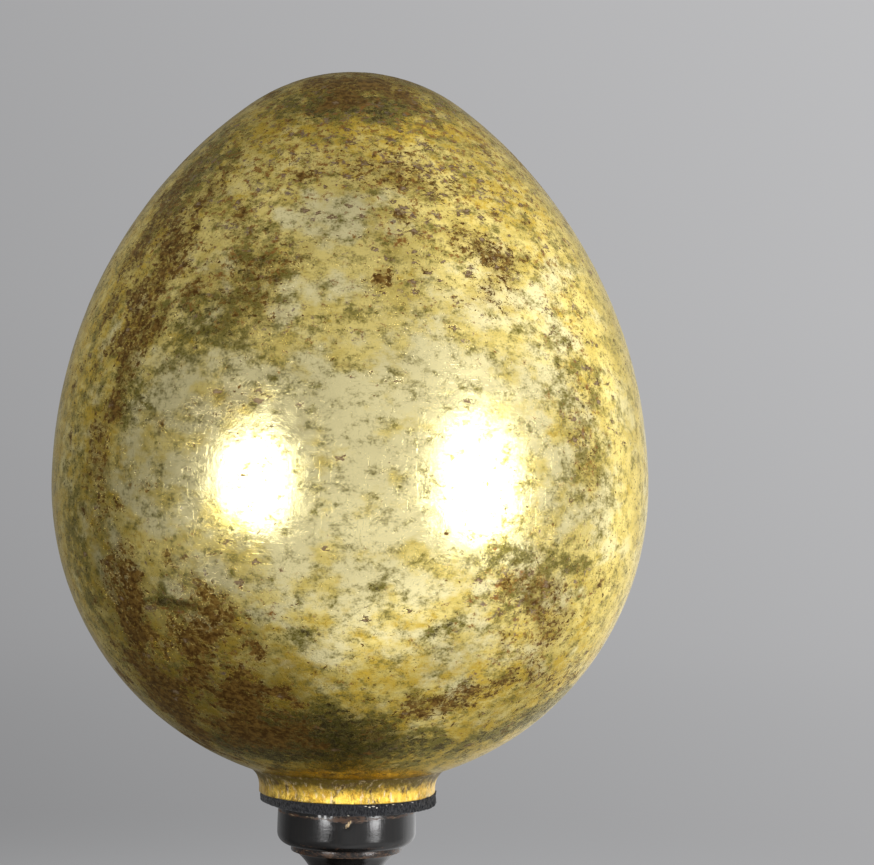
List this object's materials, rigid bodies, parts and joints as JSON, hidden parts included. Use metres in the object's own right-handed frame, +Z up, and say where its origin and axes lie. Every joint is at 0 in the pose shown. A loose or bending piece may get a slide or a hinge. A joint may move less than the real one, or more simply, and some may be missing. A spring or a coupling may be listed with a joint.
{
  "type": "egg finial on stand",
  "caption": "Gilded hollow wooden egg finial with a short coved neck, standing on a felt washer and a brass-sleeved steel rod on an ebonised turned stand; it turns and lifts off.",
  "frame": {"origin": "centre of the stand's underside, on the surface it stands on", "axes": "+Z up along the common axis of stand, rod and egg, towards the crown; every turned piece is round about it"},
  "size_m": [0.26, 0.26, 0.5204],
  "materials": {
    "upper_shell": "burnished water gilding over red-brown bole",
    "lower_shell": "burnished water gilding over red-brown bole, rubbed through in patches",
    "joint_dowels": "plain beech",
    "neck_collar": "oil gilding over yellow bole",
    "socket_block": "plain limewood",
    "felt_washer": "black pressed felt with specks of dried glue",
    "rod_sleeve": "drawn brass, lightly worn",
    "stand_cap": "ebonised, polished, worn brown at the edges",
    "column": "ebonised, polished, worn brown at the edges",
    "base": "ebonised, polished, worn brown at the edges",
    "mounting_rod": "zinc-plated steel",
    "head_washer": "zinc-plated steel",
    "head_nut": "zinc-plated steel",
    "base_washer": "zinc-plated steel",
    "base_nut": "zinc-plated steel",
    "ballast_plate": "raw cast iron, oiled",
    "ballast_screws": "bright steel",
    "baize_disc": "green baize, felted wool"
  },
  "bodies": {
    "stand": {"stand_cap": "stand_cap", "column": "column", "base": "base", "mounting_rod": "mounting_rod", "head_washer": "head_washer", "head_nut": "head_nut", "base_washer": "base_washer", "base_nut": "base_nut", "ballast_plate": "ballast_plate", "ballast_screws": "ballast_screws", "baize_disc": "baize_disc"},
    "sleeve": {"rod_sleeve": "rod_sleeve"},
    "finial": {"upper_shell": "upper_shell", "lower_shell": "lower_shell", "joint_dowels": "joint_dowels", "neck_collar": "neck_collar", "socket_block": "socket_block", "felt_washer": "felt_washer"}
  },
  "joints": [
    {"name": "finial_turn", "type": "hinge", "parent": "stand", "child": "sleeve", "pos_m": [0, 0, 0.2], "axis": [0, 0, 1], "continuous": true},
    {"name": "finial_lift", "type": "slide", "parent": "sleeve", "child": "finial", "axis": [0, 0, 1], "range_m": [0, 0.085]}
  ]
}
